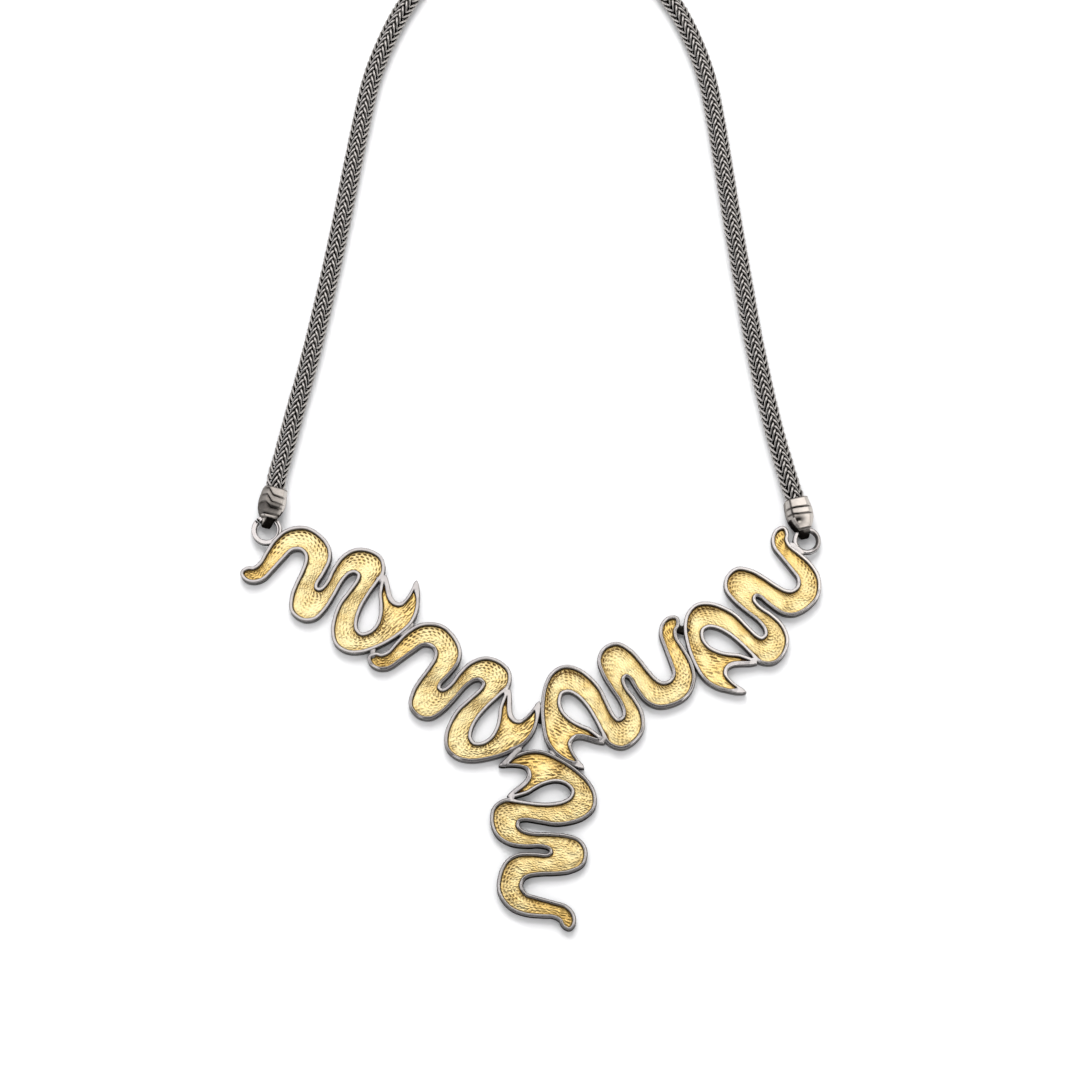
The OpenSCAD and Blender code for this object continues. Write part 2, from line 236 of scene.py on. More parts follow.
LEFT_EDGE = SECTIONS[:, :2]
RIGHT_EDGE = SECTIONS[:, 2:]
FLANK = smooth(np.vstack([OUTER_JAW, RIGHT_EDGE[::-1], [TAIL_TIP], LEFT_EDGE, INNER_JAW]), STEPS)
MOUTH_POINTS = np.vstack([INNER_JAW[-1:], MOUTH, OUTER_JAW[:1]])
FLOOR = np.vstack([FLANK, smooth(MOUTH_POINTS, STEPS)[1:-1]])
SILVER_FLANK = moved(FLANK, WALL_W)
NECK_STEP = STEPS * (len(OUTER_JAW) + len(SECTIONS) + 1 + NECK_ROW)
OUTLINE = np.vstack([SILVER_FLANK[JAW_ROWS * STEPS:NECK_STEP + 1], [NECK], smooth(LIPS, STEPS)])
WINDOW = np.vstack([[WINDOW_TIP], SILVER_FLANK[NECK_STEP + STEPS:]])


def rising(x, start, over):
    """0 up to start, 1 from start + over on, and a ramp between them."""
    return np.clip((x - start) / over, 0, 1)


def falling(x, end, over):
    """1 up to end - over, 0 from end on, and a ramp between them."""
    return np.clip((end - x) / over, 0, 1)


def hump(x, half):
    """1 at 0, falling smoothly to about a third at half and on to nothing."""
    return np.exp(-(x / half) ** 2)


def waves(x, y, size, seed):
    """A smooth uneven height between about -1 and 1, the same on every run."""
    rng = np.random.default_rng(seed)
    total = 0
    for _ in range(5):
        a = rng.uniform(0, 2 * math.pi)
        f = rng.uniform(0.6, 1.4) * 2 * math.pi / size
        total = total + np.sin(f * (x * math.cos(a) + y * math.sin(a)) + rng.uniform(0, 2 * math.pi))
    return total / 3


def add_piece(name, points, faces, looks, material, node, sharp=None):
    """Puts a piece in the scene from points in millimetres, with its looks as named values for each point.
    Edges over the angle sharp stay sharp."""
    mesh = bpy.data.meshes.new(name)
    mesh.from_pydata((points * MM).tolist(), [], faces)
    for look, values in looks.items():
        mesh.attributes.new(look, "FLOAT", "POINT").data.foreach_set("value", values)
    mesh.shade_smooth()
    if sharp:
        mesh.set_sharp_from_angle(angle=math.radians(sharp))
    mesh.materials.append(material)
    obj = bpy.data.objects.new(name, mesh)
    bpy.context.scene.collection.objects.link(obj)
    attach(obj, "root")
    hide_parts(node)


class Shape:
    """Points, faces and a value of tarnish and painted shade for each point, gathered from several shells,
    in millimetres.
    """

    def __init__(self):
        self.points = []
        self.tarnish_and_shade = []
        self.faces = []
        self.count = 0

    def add(self, points, faces, tarnish_and_shade):
        self.points.append(points)
        self.tarnish_and_shade.append(np.broadcast_to(tarnish_and_shade, len(points)))
        self.faces.extend([tuple(self.count + i for i in f) for f in faces])
        self.count += len(points)

    def piece(self, name, material, node, sharp=None):
        looks = {"tarnish_and_shade": np.concatenate(self.tarnish_and_shade)}
        add_piece(name, np.vstack(self.points), self.faces, looks, material, node, sharp)


def wall_faces(rows, n, start):
    """Faces between closed rows of n points each, where each row lies over the one before it. They look to
    the left of the rows' run."""
    faces = []
    for r in range(rows - 1):
        for k in range(n):
            a = start + r * n + k
            b = start + r * n + (k + 1) % n
            faces.append((a, a + n, b + n, b))
    return faces


def tube_faces(n, m, closed):
    """Faces of a tube through n rings of m points each, with flat ends where it isn't closed. They look
    outwards where the rings run counter-clockwise, seen along the tube from its start."""
    faces = []
    for i in range(n if closed else n - 1):
        for k in range(m):
            a, b = i * m + k, i * m + (k + 1) % m
            c, d = (i + 1) % n * m + (k + 1) % m, (i + 1) % n * m + k
            faces.append((a, d, c, b))
    if not closed:
        faces.append(tuple(range(m)))
        faces.append(tuple(range((n - 1) * m, n * m))[::-1])
    return faces


def flat_faces(points, loops, upwards):
    """Triangles between closed outlines, given as numbers of points, that look up or down."""
    index = [k for loop in loops for k in loop]
    flat = [[Vector((*points[k][:2], 0)) for k in loop] for loop in loops]
    faces = []
    for tri in geometry.tessellate_polygon(flat):
        a, b, c = [index[t] for t in tri]
        u, v = points[b] - points[a], points[c] - points[a]
        faces.append((a, b, c) if (u[0] * v[1] > u[1] * v[0]) == upwards else (a, c, b))
    return faces


def placed(points, i):
    """Points of the pattern put where casting number i lies, in the row's frame."""
    x, y, turn, size = PLACES[i]
    c, s = math.cos(math.radians(turn)), math.sin(math.radians(turn))
    out = np.array(points, float)
    px, py = out[:, 0].copy(), out[:, 1].copy()
    out[:, 0] = x + size * (c * px - s * py) - CENTRE[0]
    out[:, 1] = y + size * (s * px + c * py) - CENTRE[1]
    return out


# Silver castings: a rounded wall along each edge of one snake, with its floor sunk between the walls

# How the walls of each casting look: rounding of the outer edge, drop of the rim at it, and how dark the
# metal is on the sides, under the rim and on the rim. The dark on the sides and under the rim is partly
# oxide and partly painted shade, standing in for the shaded floor and dark room that the walls mirror. A
# small bite brings the dark of the sides further over the rounded edge.
Wall = namedtuple("Wall", "rounded slope side under veil bite")
WALLS = [
    Wall(0.26, 0.00, 0.05, 0.85, 0.14, 2.0),
    Wall(0.28, 0.10, 0.10, 0.95, 0.12, 1.2),
    Wall(0.36, 0.22, 1.00, 1.00, 0.10, 0.7),
    Wall(0.28, 0.12, 0.25, 1.00, 0.08, 1.2),
    Wall(0.26, 0.06, 0.30, 1.00, 0.02, 1.5),
]
INNER_ROUNDED = 0.18
WALL_UNEVEN = 0.03


def rounding(radius, steps):
    """Insets and drops of a rounded edge, from the side to the top."""
    angles = [math.pi / 2 * k / steps for k in range(steps + 1)]
    return [(radius * (1 - math.cos(a)), radius * (1 - math.sin(a))) for a in angles]


def casting(shape, i, wall):
    """The silver of casting number i, with walls that look as its row of WALLS says."""
    points = []
    tarnish_and_shade = []
    faces = []

    def rise(loop, rows):
        """A side over a closed outline, from rows of inset, height and darkness. Gives the numbers of its
        lowest and of its highest points."""
        n = len(loop)
        first = sum(len(p) for p in points)
        # The first and last rows come twice: the flat faces have points of their own
        for inset, z, dark in (rows[0], *rows, rows[-1]):
            points.append(np.column_stack([widened(loop, -inset), np.full(n, z)]))
            tarnish_and_shade.append(np.full(n, dark))
        faces.extend(wall_faces(len(rows), n, first + n))
        last = first + (len(rows) + 1) * n
        return range(first, first + n), range(last, last + n)

    # Outer side: black at its foot on the floor, dark up the side and under the rim, lightening over the
    # rounded edge: partly oxide and partly painted shade
    outer = [(0.1, 0.0, 1.0), (0.0, 0.12, wall.side), (0.0, 1.5, wall.side), (0.0, 2.2, wall.under)]
    window = list(outer)
    for inset, drop in rounding(wall.rounded, 6):
        dark = wall.veil + (wall.under - wall.veil) * (drop / wall.rounded) ** wall.bite
        outer.append((inset, WALL_H - wall.slope - drop, dark))
        window.append((inset, WALL_H - drop, dark))
    # Inner side: darker down into the channel, partly oxide and partly painted shade
    inner = [(0.0, BACK_T, 0.85), (0.0, 1.7, 0.85), (0.0, 2.0, 0.65), (0.0, 2.3, 0.30)]
    for inset, drop in rounding(INNER_ROUNDED, 4):
        dark = wall.veil + (0.25 - wall.veil) * (drop / INNER_ROUNDED) ** 2
        inner.append((inset, WALL_H - drop, dark))
    outer_foot, outer_rim = rise(OUTLINE, outer)
    window_foot, window_rim = rise(WINDOW, window)
    inner_foot, inner_rim = rise(FLOOR[::-1], inner)
    corners = np.vstack(points)
    faces += flat_faces(corners, [outer_rim, window_rim, inner_rim], True)
    faces += flat_faces(corners, [outer_foot, window_foot], False)
    faces += flat_faces(corners, [inner_foot], True)
    uneven = waves(corners[:, 0], corners[:, 1], 7.0, 40 + i) * WALL_UNEVEN
    corners[:, 2] += uneven * rising(corners[:, 2], 1.5, 1.0)
    shape.add(placed(corners, i), faces, np.concatenate(tarnish_and_shade))


# Rings, solder and clasp: bars with rounded corners, swept along flat paths
CORNER_STEPS = 4
RING_TURNS = np.radians(np.arange(96) * 3.75)


def bar_section(half, low, high, radius, across=0):
    """Once round a rounded box: offsets and heights, with some points across its top."""
    corners = [(half - radius, high - radius, 0), (radius - half, high - radius, 90),
               (radius - half, low + radius, 180), (half - radius, low + radius, 270)]
    out = []
    for x, z, start in corners:
        for k in range(CORNER_STEPS + 1):
            a = math.radians(start + 90 * k / CORNER_STEPS)
            out.append((x + radius * math.cos(a), z + radius * math.sin(a)))
        if start == 0:
            out.extend((x - 2 * x * k / (across + 1), high) for k in range(1, across + 1))
    return out


def band_section(radius, across=0):
    """Section of the flat band of a ring or the clasp."""
    return bar_section(RING_BAND / 2, RING_Z - RING_T / 2, RING_TOP, radius, across)


def swept(shape, path, sections, closed, tarnish_and_shade):
    """Sweeps one section for each point of a flat path, with offsets to its right."""
    if closed:
        ahead = np.roll(path, -1, 0) - np.roll(path, 1, 0)
    else:
        ahead = np.gradient(path, axis=0)
    t = unit(ahead)
    right = np.column_stack([t[:, 1], -t[:, 0]])
    points = []
    for p, r, section in zip(path, right, sections):
        points.extend((*(p + a * r), z) for a, z in section)
    points = np.array(points)
    shape.add(points, tube_faces(len(path), len(sections[0]), closed), tarnish_and_shade(points))


def side_ring(shape, ring, radius, shade_line, cut):
    """A ring of flat band with corners rounded by radius, and a gap as wide as cut. Its right strand is
    darkened along a line of painted shade, standing in for the dark that its rounded band mirrors: the
    fourth argument holds the line's distance from the middle of the band and its half width."""
    middle = np.array(ring[:2]) - CENTRE
    r = ring[2] - RING_BAND / 2
    angles = RING_TURNS
    if cut:
        half_cut = math.degrees(cut / 2 / ring[2])
        start, stop = RING_CUT_TURN + half_cut, RING_CUT_TURN + 360 - half_cut
        angles = np.radians(np.linspace(start, stop, len(RING_TURNS) + 1))
    path = middle + r * np.column_stack([np.cos(angles), np.sin(angles)])

    def dark(p):
        out = p[:, :2] - middle
        reach = np.linalg.norm(out, axis=1)
        right = rising(out[:, 0] / reach, 0.35, 0.35)
        line = 0.85 * right * np.exp(-((reach - r - shade_line[0]) / shade_line[1]) ** 4)
        if cut:
            # The metal at the gap is black, painted shade of the narrow gap
            turn = math.radians(RING_CUT_TURN)
            gap = r * np.array([math.cos(turn), math.sin(turn)])
            line = np.maximum(line, np.linalg.norm(out - gap, axis=1) < 0.5)
        # Darker down its sides, as on the walls: partly oxide and partly painted shade
        return np.clip(np.maximum(line, (RING_TOP - radius - p[:, 2]) / 0.4), 0, 1)

    swept(shape, path, [band_section(radius, 7)] * len(path), not cut, dark)


def solder(shape, row):
    """A bar of solder with round ends that drop a little."""
    a, b = np.array(row[:2]) - CENTRE, np.array(row[2:4]) - CENTRE
    width, top = row[4:]
    length = np.linalg.norm(b - a)
    ahead = (b - a) / length
    reach = width / 2
    ts = np.linspace(-reach, length + reach, 15)
    sections = []
    for t in ts:
        over = max(-t, t - length, 0) / reach
        half = max(reach * math.sqrt(max(1 - over * over, 0)), 0.12)
        sections.append(bar_section(half, 0.02, top - 0.15 * over * over, min(0.35, half * 0.9)))
    # Low between two walls solder is black, partly oxide and partly painted shade, higher up it is dull, and
    # flush with the rims it is bright
    if top < 2.2:
        dull = 1.0
    elif top < WALL_H - 0.05:
        dull = 0.28
    else:
        dull = 0.05

    def dark(p):
        # Dull patches at random, and darker down its sides: partly oxide and partly painted shade
        patches = 0.12 * waves(p[:, 0], p[:, 1], 1.6, 21)
        return np.clip(dull + patches + np.maximum(top - 0.3 - p[:, 2], 0) / 0.5, 0, 1)

    swept(shape, a + ts[:, None] * ahead, sections, False, dark)


def clasp_band(shape):
    """A plain oval band through the eyes of the back caps."""
    reach = (CLASP_L - CLASP_W) / 2
    path = np.column_stack([np.cos(RING_TURNS), np.sin(RING_TURNS)]) * (CLASP_W / 2 - RING_BAND / 2)
    path[:, 0] += np.sign(np.cos(RING_TURNS)) * reach * (np.abs(np.cos(RING_TURNS)) > 1e-6)
    path += np.array([0, BACK_Y]) - CENTRE
    radius = 0.3
    # Darker down its sides, as on the walls: partly oxide and partly painted shade
    swept(shape, path, [band_section(radius)] * len(path), True,
          lambda p: falling(p[:, 2], RING_TOP - radius, 0.4))


# Gilded skins: a relief of scales between the walls

# Bends of the snake: first and last section, and +1 where its outer side is the left edge
BENDS = [(2.5, 9.5, 1), (10.5, 15.5, -1), (16.5, 22.5, 1), (23.5, 31.0, -1)]
LAST_BEND = BENDS[-1]
# Steps of an edge to a section, steps across a skin, length of its steps along, rows of its head, and how
# much of its tail is cut off
EDGE_STEPS = 24
ACROSS = 36
ALONG = 0.12
HEAD_ROWS = 40
TIP_CUT = 0.06

# How strongly slits, square cells, leaning strokes, long fine strokes and spokes show on each skin, how much
# painted shade, warmer and darker, its upper side gets from the wall above it, and which way its long
# strokes lean
Scales = namedtuple("Scales", "slits net ribs hair radial shade lean")
SCALES = [
    Scales(1.0, 0.2, 1.0, 0.0, 0.5, 0.2, -0.5),
    Scales(0.9, 0.3, 1.0, 0.0, 0.5, 0.3, -0.4),
    Scales(0.3, 1.0, 0.4, 0.45, 0.8, 0.8, -0.15),
    Scales(0.2, 0.9, 0.6, 0.30, 0.5, 0.5, 0.25),
    Scales(0.2, 0.9, 0.3, 0.50, 0.5, 0.8, 0.2),
]


def resampled(line, places, at):
    """Points of a line at the places in at, where places says where its own points are."""
    return np.column_stack([np.interp(at, places, line[:, k]) for k in range(2)])


def even(line, count):
    """A line drawn again in count equal steps."""
    run = along(line)
    return resampled(line, run, np.linspace(0, run[-1], count + 1))


def skin_rows(w):
    """Points of the skin's top in rows from tail to head, and the section that each row lies at. The places
    across are in w, from 0 at its left edge to 1 at its right one."""
    n = EDGE_STEPS
    left = smooth(np.vstack([RIGHT_EDGE[:1], [TAIL_TIP], LEFT_EDGE, INNER_JAW]), n)[n:]
    right = smooth(np.vstack([LEFT_EDGE[:1], [TAIL_TIP], RIGHT_EDGE, OUTER_JAW[::-1]]), n)[n:]
    rows = len(SECTIONS) * n + 1
    run = along((left[:rows] + right[:rows]) / 2)
    # The tip of the tail is cut off so that the first row has some width
    at = np.interp(np.linspace(TIP_CUT, run[-1], int(run[-1] / ALONG) + 1), run, np.arange(rows))
    body_l = resampled(left[:rows], np.arange(rows), at)
    body_r = resampled(right[:rows], np.arange(rows), at)
    body = body_l[:, None, :] * (1 - w)[None, :, None] + body_r[:, None, :] * w[None, :, None]
    # The head is a patch between the last section, the two jaws and the mouth
    side_l, side_r = even(left[rows - 1:], HEAD_ROWS), even(right[rows - 1:], HEAD_ROWS)
    top = even(smooth(MOUTH_POINTS, n), ACROSS)
    base = body[-1]
    v = np.linspace(0, 1, HEAD_ROWS + 1)[:, None, None]
    u = w[None, :, None]
    sides = (1 - v) * base[None] + v * top[None] + (1 - u) * side_l[:, None] + u * side_r[:, None]
    head = (sides - (1 - u) * (1 - v) * base[0] - u * (1 - v) * base[-1]
            - (1 - u) * v * top[0] - u * v * top[-1])
    section = np.concatenate([at / n - 1, len(SECTIONS) - 1 + 2 * np.linspace(0, 1, HEAD_ROWS + 1)[1:]])
    return np.vstack([body, head[1:]]), section


def to_outline(points, outline):
    """Distance of each point to a closed outline."""
    best = np.full(len(points), 1e9)
    for p, q in zip(outline, np.roll(outline, -1, 0)):
        d = q - p
        t = np.clip(((points - p) @ d) / max(d @ d, 1e-12), 0, 1)
        best = np.minimum(best, np.linalg.norm(points - p - t[:, None] * d, axis=1))
    return best


class Grid:
    """The top of a skin, which is the same for all five, and the measures that the scales are drawn from."""

    def __init__(self):
        w = np.linspace(0, 1, ACROSS + 1)
        self.points, self.section = skin_rows(w)
        self.x, self.y = self.points[..., 0], self.points[..., 1]
        self.edge = to_outline(self.points.reshape(-1, 2), FLOOR[::2]).reshape(self.x.shape)
        self.jaw_tip = np.linalg.norm(self.points - np.array(INNER_JAW[-1]), axis=2)
        self.run_left = along(self.points[:, 0])[:, None]
        self.run_right = along(self.points[:, -1])[:, None]
        self.run_middle = along(self.points[:, len(w) // 2])[:, None]
        self.aside = self.points[:, -1] - self.points[:, 0]
        self.width = np.linalg.norm(self.aside, axis=1)[:, None]
        self.from_left = w * self.width
        self.from_right = (1 - w) * self.width
        self.lateral = (w - 0.5) * self.width
        self.across = 2 * (w - 0.5)


def dashes(run, lane, pitch, slant, long, thin):
    """Long pits in a row: 1 in the middle of each, where run goes along the row and lane across it."""
    u = (run / pitch - np.round(run / pitch)) * pitch
    c, t = math.cos(math.radians(slant)), math.sin(math.radians(slant))
    return np.exp(-np.abs((u * c + lane * t) / long) ** 3 - ((lane * c - u * t) / thin) ** 2)


def strokes(across, reach, spacing, length, thin, gap=0.3):
    """Broken lines: across runs over the lines and reach along them. Each is broken at places of its own."""
    n = np.round(across / spacing)
    v = reach / length + 0.618 * n
    part = 2 * np.abs(v - np.round(v))
    return hump(across - n * spacing, thin) * rising(part, gap, 0.25)


def to_line(run, pitch):
    """Distance to the nearest of the lines that cross a run, where run counts in pitches."""
    return np.abs(run - np.round(run)) * pitch


def bend_marks(grid, bend, scales, upper, uneven, patchy):
    """Depth of the marks in one bend, and how far each row belongs to the bend."""
    first, last, side = bend
    section = grid.section[:, None]
    weight = np.minimum(rising(section, first, 1.2), falling(section, last, 1.2))
    if side > 0:
        run, inner_run, q, q_in = grid.run_left, grid.run_right, grid.from_left, grid.from_right
    else:
        run, inner_run, q, q_in = grid.run_right, grid.run_left, grid.from_right, grid.from_left
    a, b = np.searchsorted(grid.section, (first, last))
    shorter = 1 - (inner_run[b, 0] - inner_run[a, 0]) / (run[b, 0] - run[a, 0])
    wide = grid.width[a:b].mean()
    slits, net = scales.slits, scales.net
    marks = []
    # Rows of small dashes that follow the bend, with the longest along its outer side
    show = np.clip(0.60 + 0.60 * upper + 0.25 * patchy, 0.20, 1.2)
    lanes = 0.50 + 0.22 * net + (0.62 + 0.18 * slits) * np.arange(7)
    for row, lane in enumerate(lanes[lanes <= wide - 0.3]):
        here = run * (1 - shorter * lane / wide) + 0.41 * row + 0.10 * uneven
        big = max(slits, 0.4 * net) * max(0, 1 - 0.2 * row)
        pitch, long, thin = 0.98 + 0.34 * big, 0.35 + 0.17 * big, 0.135 + 0.03 * net
        pit = dashes(here, q - lane + 0.05 * uneven, pitch, 16 * side, long, thin)
        strong = (0.21 + 0.05 * net + 0.03 * big) * (1 - 0.11 * net * row)
        marks.append(weight * show * pit * strong)
    # Strokes that all run one way, cut into rows that follow the bend
    fine = waves(grid.x, grid.y, 0.6, 9)
    slanted = grid.x + scales.lean * grid.y
    lines = strokes(slanted + 0.10 * uneven, grid.y + 0.3 * fine, 0.58, 1.9, 0.15, 0.12)
    band = np.clip(0.5 + 1.4 * np.cos(2 * math.pi * (q - 0.62 + 0.06 * uneven) / 0.98), 0, 1)
    band = band * np.clip(1.15 - 0.22 * q, 0.3, 1) * np.clip(0.62 + 0.6 * upper, 0.22, 1.1)
    marks.append(0.17 * net * weight * band * lines)
    # Square cells along the outer side, most of all in the last bend
    off = to_line(run / 0.95 + 0.06 * uneven, 0.95)
    cells = hump(q - 0.90, 0.12) + 0.6 * hump(q - 1.75, 0.12)
    cells = np.maximum(cells, hump(off, 0.13) * falling(q, 1.9, 0.9))
    strong = 0.25 if bend == LAST_BEND else 0.17
    marks.append(strong * net * weight * cells * np.clip(0.1 + 1.4 * upper, 0, 1))
    # Short spokes along the outer side where it is the lower one
    petal = hump(off, 0.15) * falling(q, 1.45, 0.4) * rising(q, 0.25, 0.2)
    faint = np.clip(0.8 + 0.5 * patchy, 0.3, 1.2) * np.clip(0.45 - 1.2 * upper, 0, 1)
    marks.append(0.20 * scales.radial * weight * petal * faint)
    # Leaning spokes round the tip of the slot inside the bend
    off = to_line((inner_run + 0.5 * side * q_in) / 0.62 + 0.10 * uneven, 0.62) * (1 + 0.35 * q_in)
    spoke = hump(off, 0.15) * falling(q_in, 2.1, 0.7) * rising(q_in, 0.25, 0.2)
    marks.append(0.26 * (0.6 + 0.4 * scales.radial) * weight * spoke * np.clip(1.5 * upper, 0, 1))
    return np.maximum.reduce(marks), weight


def long_marks(grid, scales, bends, upper, uneven, patchy):
    """Depth of the marks over limbs, head and tail, where bends says how far each point is in a bend."""
    section = grid.section[:, None]
    body, tail, head = falling(section, 30.0, 1.5), falling(section, 4.0, 2.0), rising(section, 28.0, 1.5)
    fine = waves(grid.x, grid.y, 0.6, 9)
    run, lateral = grid.run_middle, grid.lateral
    slanted = grid.x + scales.lean * grid.y
    show = np.clip(0.85 + 0.35 * upper + 0.4 * patchy, 0.2, 1.3)
    # Leaning strokes over the limbs, and long fine ones over the whole body
    rib = strokes((run - 3 * lateral) / 3.16 + 0.10 * uneven, lateral * 3.16, 0.56, 1.3, 0.14)
    strand = strokes(slanted + 0.15 * uneven + 0.1 * patchy, grid.y + 0.4 * uneven, 0.48, 2.2, 0.13, 0.2)
    # Short flecks that lean the other way
    leaning = (run + 0.7 * lateral) / 1.22
    fleck = strokes(leaning + 0.16 * uneven, lateral * 1.22 + 0.2 * fine, 0.46, 0.8, 0.12)
    # Strokes towards the mouth in the head, and short ones in the tail
    bone = strokes(slanted + 0.16 * uneven, grid.y + 0.5 * fine, 0.62, 2.6, 0.13, 0.15)
    short = strokes((run + 0.8 * lateral) / 1.28, lateral, 0.66, 1.1, 0.15)
    return np.maximum.reduce([
        0.19 * scales.ribs * body * (1 - 0.9 * bends) * rib * show,
        0.15 * scales.hair * body * (1 - 0.6 * tail) * strand * show,
        0.07 * body * fleck * np.clip(0.8 + 0.5 * patchy, 0.2, 1.2),
        0.18 * head * bone * np.clip(0.8 + 0.6 * patchy, 0.2, 1.2),
        0.16 * tail * short,
    ])


def skin_relief(grid, i, scales):
    """Height, darkness and warmth of each point of one skin: tarnish in the marks, with painted shade along
    the walls and on the upper side. Where marks cross, the deepest counts.
    """
    # From -1 to 1, how far a point lies to the chain's side of its limb, the side that the wall above it
    # shades, where painted shade is laid and most marks show stronger
    angle = math.radians(PLACES[i][2])
    chainwards = (grid.aside @ np.array([math.sin(angle), math.cos(angle)]))[:, None] / grid.width
    upper = chainwards * grid.across
    uneven = waves(grid.x, grid.y, 2.6, 7 + i)
    fine = waves(grid.x, grid.y, 0.6, 9)
    patchy = waves(grid.x, grid.y, 5.0, 5 + i)
    marks, weights = zip(*[bend_marks(grid, bend, scales, upper, uneven, patchy) for bend in BENDS])
    bends = np.maximum.reduce(weights)
    deep = np.maximum.reduce([*marks, long_marks(grid, scales, bends, upper, uneven, patchy)])
    edge = grid.edge
    deep = np.clip(deep, 0, 0.27) * rising(edge, 0.06, 0.2)
    # The skin falls away into a dark seam along the walls, painted shade of the walls that is wider and
    # darker on the upper side
    upper_side = np.clip(upper, 0, 1)
    under = scales.shade * upper_side
    shaded_seam = (0.65 + 0.3 * under) * np.exp(-(edge / (0.15 + 0.2 * under)) ** 2)
    crown = 0.10 * np.clip(edge / 1.2, 0, 1) ** 0.7
    z = BACK_T + SKIN_T + crown - 0.85 * deep - 0.12 * shaded_seam + 0.03 * uneven + 0.022 * fine
    tarnish_and_shade = np.maximum(np.clip(deep / 0.20, 0, 1) ** 1.2 * 0.95, shaded_seam)
    # Painted shade of the upper wall over the skin beside it
    tarnish_and_shade = tarnish_and_shade + 0.18 * scales.shade * (upper_side * np.clip(1.3 - edge / 1.2, 0, 1))
    tarnish_and_shade = np.maximum(tarnish_and_shade, falling(grid.jaw_tip, 2.5, 0.6))
    section = grid.section[:, None]
    # Warmer towards head and tail and in random patches; warmer near the walls and on the upper side as
    # painted shade
    warm = (0.10 + 0.25 * scales.shade + 0.45 * scales.shade * np.clip(upper, -0.5, 1)
            + 0.45 * rising(section, 28.5, 3.5) + falling(section, 5.0, 3.5)
            + 0.20 * patchy + 0.12 * uneven + 0.12 * fine + 0.45 * falling(edge, 0.9, 0.8))
    return z, tarnish_and_shade, np.clip(warm, 0, 1)


def skin(grid, i, scales, material):
    """The gilded back of casting number i: its relief, with a skirt down to a flat underside."""
    z, dark, tint = skin_relief(grid, i, scales)
    rows, cols = z.shape
    top = np.column_stack([grid.points.reshape(-1, 2), z.reshape(-1)])
    corners = [r * cols + k for r in range(rows - 1) for k in range(cols - 1)]
    faces = [(a, a + 1, a + cols + 1, a + cols) for a in corners]
    number = np.arange(rows * cols).reshape(rows, cols)
    border = np.concatenate([number[0], number[1:, -1], number[-1, -2::-1], number[-2:0:-1, 0]]).tolist()
    base = len(top)
    n = len(border)
    low = top[border].copy()
    low[:, 2] = BACK_T + 0.01
    faces += [(border[k], base + k, base + (k + 1) % n, border[(k + 1) % n]) for k in range(n)]
    faces.append(tuple(base + k for k in range(n - 1, -1, -1)))
    # The skirt down beside the walls is black like the seam: painted shade
    looks = {
        "tarnish_and_shade": np.concatenate([dark.reshape(-1), np.ones(n)]),
        "warm": np.concatenate([tint.reshape(-1), np.zeros(n)]),
    }
    node = SKIN_NODES[i]
    add_piece("gilded_" + node, placed(np.vstack([top, low]), i), faces, looks, material, node)


# End caps: a cone of square section with bevelled corners, grooves across its front and an eye at its tip

# Sides of a cap in order, from the right flank over the top, with the number of points on each
FACE_COUNTS = [3, 5, 17, 5, 3, 3, 3, 3]
CAP_FACES = np.repeat(np.arange(8), FACE_COUNTS)
RIGHT_BEVEL = CAP_FACES == 1
LEFT_BEVEL = CAP_FACES == 3
CAP_CORNER = 0.12

# Heights of each groove at four places across, which GROOVE_X gives
GROOVE_X = (-2.9, -1.7, -0.5, 2.0)
LEFT_GROOVES = [(6.4, 6.5, 5.15, 4.85), (4.75, 4.95, 3.65, 3.35), (3.15, 3.25, 2.6, 2.4),
                (0.75, 0.8, 0.85, 0.9)]
RIGHT_GROOVES = [(4.75, 4.85, 4.85, 4.6), (3.35, 3.5, 3.3, 3.05)]


def cap_axes(place):
    """Origin and axes of a cap: across, along, up."""
    x, y, turn, roll, lift = place
    c, s = math.cos(math.radians(turn)), math.sin(math.radians(turn))
    rc, rs = math.cos(math.radians(roll)), math.sin(math.radians(roll))
    side, ahead, up = np.array([c, s, 0]), np.array([-s, c, 0]), np.array([0, 0, 1.0])
    across = rc * side - rs * up
    top = rs * side + rc * up
    origin = np.array([x - CENTRE[0], y - CENTRE[1], CAP_Z + lift])
    return origin, across, ahead, top


def cap_points(place, local):
    """Points given across, along and up a cap, put where the cap lies."""
    origin, across, ahead, top = cap_axes(place)
    return origin + local[:, :1] * across + local[:, 1:2] * ahead + (local[:, 2:] - CAP_Z) * top


def cap_section(w, low, high, b):
    """Once round a box with bevelled and slightly softened corners: across and height, from the right flank
    over the top."""
    hard = [(w, low + b), (w, high - b), (w - b, high), (b - w, high),
            (-w, high - b), (-w, low + b), (b - w, low), (w - b, low)]
    out = []
    for k, count in enumerate(FACE_COUNTS):
        p, q = np.array(hard[k]), np.array(hard[(k + 1) % len(hard)])
        length = max(np.linalg.norm(q - p), 1e-6)
        cut = min(CAP_CORNER, length * 0.3)
        for j in range(count):
            t = (cut + (length - 2 * cut) * j / (count - 1)) / length
            out.append(p + (q - p) * t)
    return np.array(out)


def spot(x, y, at_x, at_y, reach_x, reach_y):
    """A soft oval spot, 1 in its middle."""
    return np.exp(-((x - at_x) / reach_x) ** 2 - ((y - at_y) / reach_y) ** 2)


